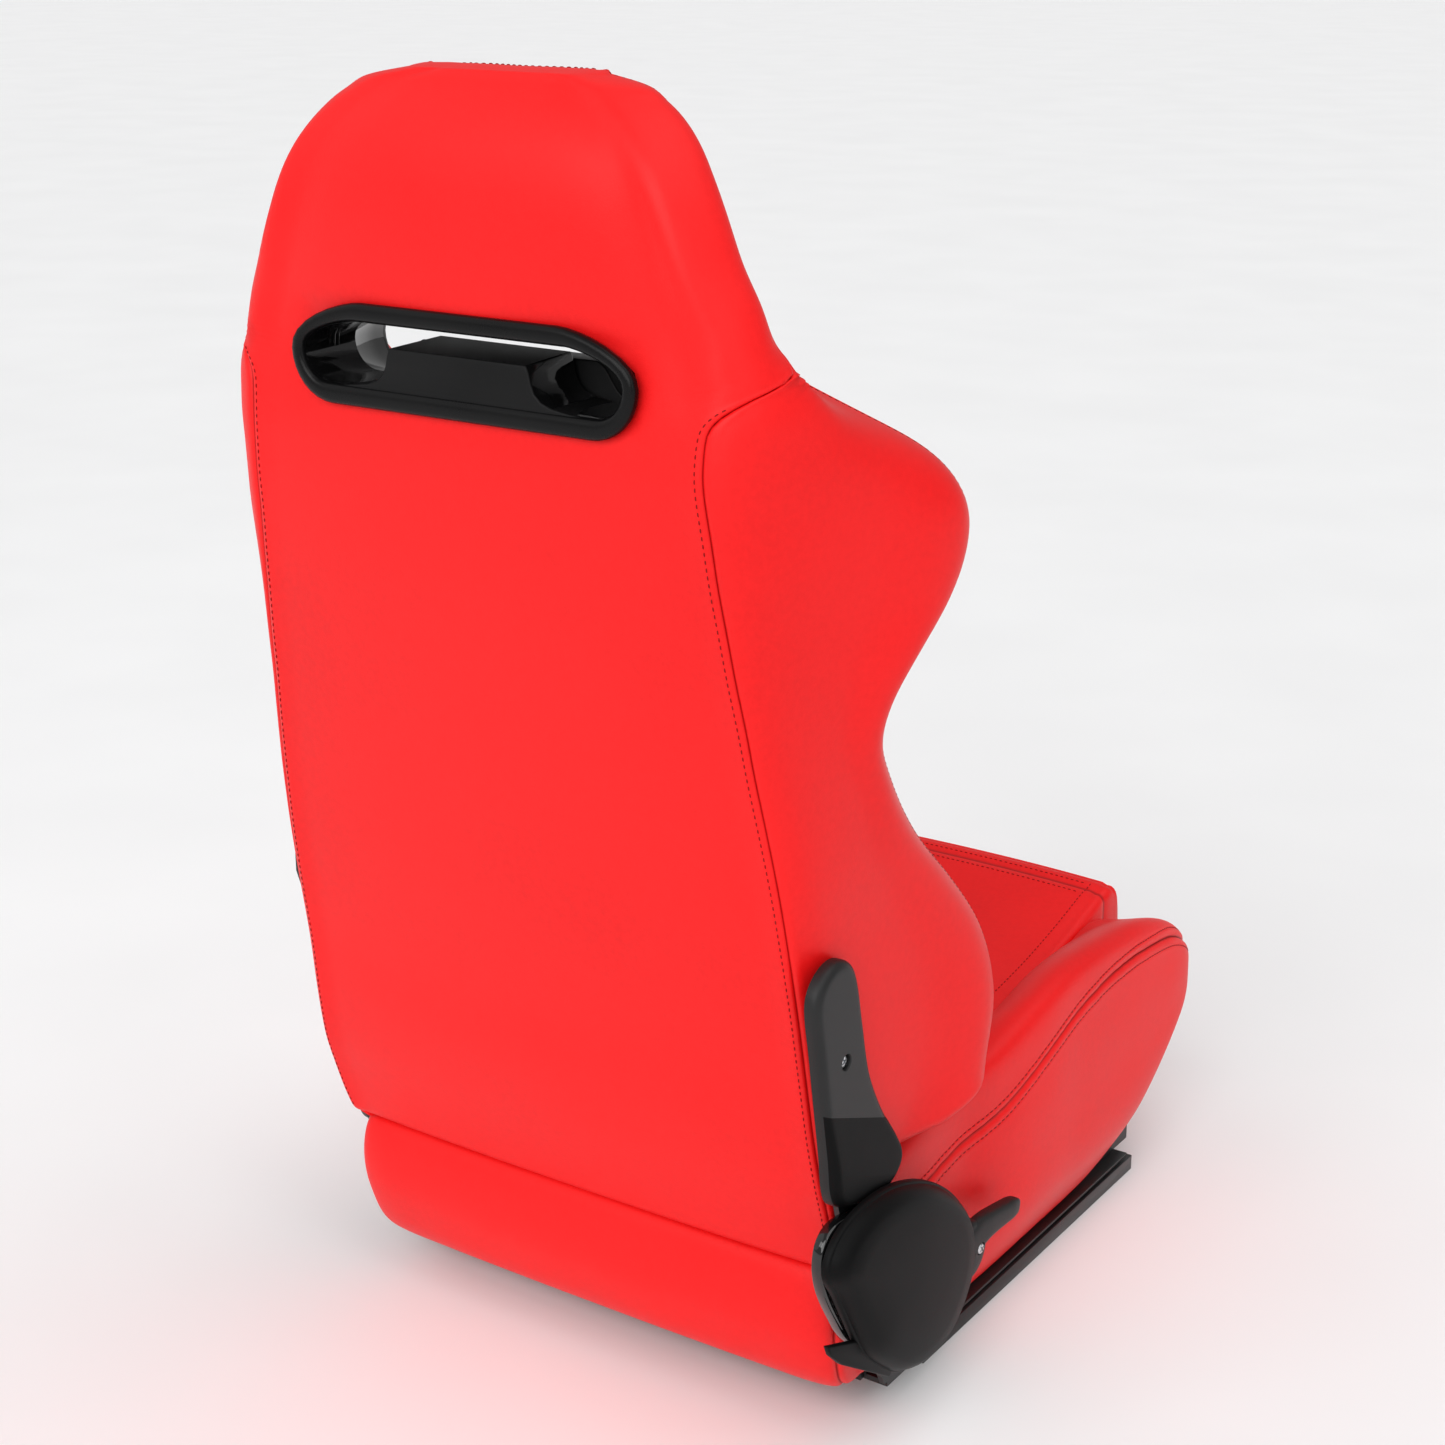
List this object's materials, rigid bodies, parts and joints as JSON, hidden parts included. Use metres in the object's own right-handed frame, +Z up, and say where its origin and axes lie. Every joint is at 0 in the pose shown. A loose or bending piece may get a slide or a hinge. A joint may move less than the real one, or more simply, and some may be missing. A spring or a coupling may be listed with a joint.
{
  "type": "reclining sports seat",
  "caption": "Bucket-style sports seat with a one-piece head and harness slot, side bolsters, lever recliner and floor slide rails.",
  "frame": {"origin": "on the floor plane, under the middle of the seat's overall footprint", "axes": "+Z up, -Y the way the occupant faces, +X towards the occupant's left; the recline lever is on the -X side"},
  "size_m": [0.524, 0.6868, 0.93],
  "materials": {
    "cover": "smooth red coated fabric with fine leather grain over foam, satin",
    "black_steel": "black powder coat, satin",
    "rail_steel": "black e-coat, semi-gloss, lightly greased",
    "spring_wire": "drawn spring wire, oiled",
    "plated_steel": "zinc plated, bright",
    "cover_plastic": "moulded black plastic, fine satin texture",
    "bezel_plastic": "moulded black plastic, satin rim, glossy duct walls",
    "gloss_plastic": "glossy black moulding",
    "lever_plastic": "moulded black grip, satin"
  },
  "bodies": {
    "lower_rails": {"right_lower_rail": "rail_steel", "left_lower_rail": "rail_steel"},
    "seat_base": {"thigh_bolster_left": "cover", "thigh_bolster_right": "cover", "seat_centre_pad": "cover", "seat_rear_skirt": "cover", "seat_frame": "black_steel", "seat_spring_right_outer": "spring_wire", "seat_spring_right_inner": "spring_wire", "seat_spring_left_inner": "spring_wire", "seat_spring_left_outer": "spring_wire", "right_upper_rail": "rail_steel", "left_upper_rail": "rail_steel", "slide_release_pin_right": "plated_steel", "slide_release_pin_left": "plated_steel", "right_base_bracket": "black_steel", "left_base_bracket": "black_steel", "right_pivot_spacer": "plated_steel", "left_pivot_spacer": "plated_steel", "right_pivot_bolt": "plated_steel", "left_pivot_bolt": "plated_steel", "recliner_hood": "cover_plastic", "recline_pawl_pin": "plated_steel"},
    "backrest": {"backrest_centre_pad": "cover", "headrest_pad": "cover", "backrest_bolster_right": "cover", "backrest_bolster_left": "cover", "backrest_frame": "black_steel", "lumbar_spring_low": "spring_wire", "lumbar_spring_middle": "spring_wire", "lumbar_spring_high": "spring_wire", "backrest_rear_panel": "cover", "harness_slot_rear_bezel": "bezel_plastic", "harness_slot_front_bezel": "bezel_plastic", "right_backrest_arm": "black_steel", "left_backrest_arm": "black_steel", "right_arm_bolt_lower": "plated_steel", "right_arm_bolt_upper": "plated_steel", "left_arm_bolt_lower": "plated_steel", "left_arm_bolt_upper": "plated_steel", "recliner_drum_cover": "gloss_plastic", "left_hinge_cover": "cover_plastic", "right_arm_cover": "cover_plastic", "right_arm_cover_screw": "plated_steel", "recliner_spiral_spring": "spring_wire"},
    "recline_lever": {"recline_lever": "lever_plastic", "recline_lever_screw": "plated_steel", "recline_lever_shaft": "plated_steel", "recline_cam": "black_steel"},
    "recline_pawl": {"recline_pawl": "plated_steel"},
    "slide_release": {"slide_release_bar": "black_steel"}
  },
  "joints": [
    {"name": "slide", "type": "slide", "parent": "lower_rails", "child": "seat_base", "axis": [0, -1, 0], "range_m": [-0.09, 0.09]},
    {"name": "recline", "type": "hinge", "parent": "seat_base", "child": "backrest", "pos_m": [0, 0.1926, 0.138], "axis": [-1, 0, 0], "range_deg": [-10, 55]},
    {"name": "lever_lift", "type": "hinge", "parent": "seat_base", "child": "recline_lever", "pos_m": [-0.22, 0.0866, 0.098], "axis": [-1, 0, 0], "range_deg": [0, 22], "stiffness_Nm_per_rad": 2, "springref_deg": -8.59},
    {"name": "pawl_release", "type": "hinge", "parent": "seat_base", "child": "recline_pawl", "pos_m": [-0.229, 0.1556, 0.088], "axis": [1, 0, 0], "range_deg": [0, 8.5]},
    {"name": "slide_release", "type": "hinge", "parent": "seat_base", "child": "slide_release", "pos_m": [0, -0.1874, 0.027], "axis": [-1, 0, 0], "range_deg": [0, 5], "stiffness_Nm_per_rad": 6, "springref_deg": -14.32}
  ],
  "couplings": [
    {"joint": "pawl_release", "follows": "lever_lift", "ratio": 0.36}
  ]
}
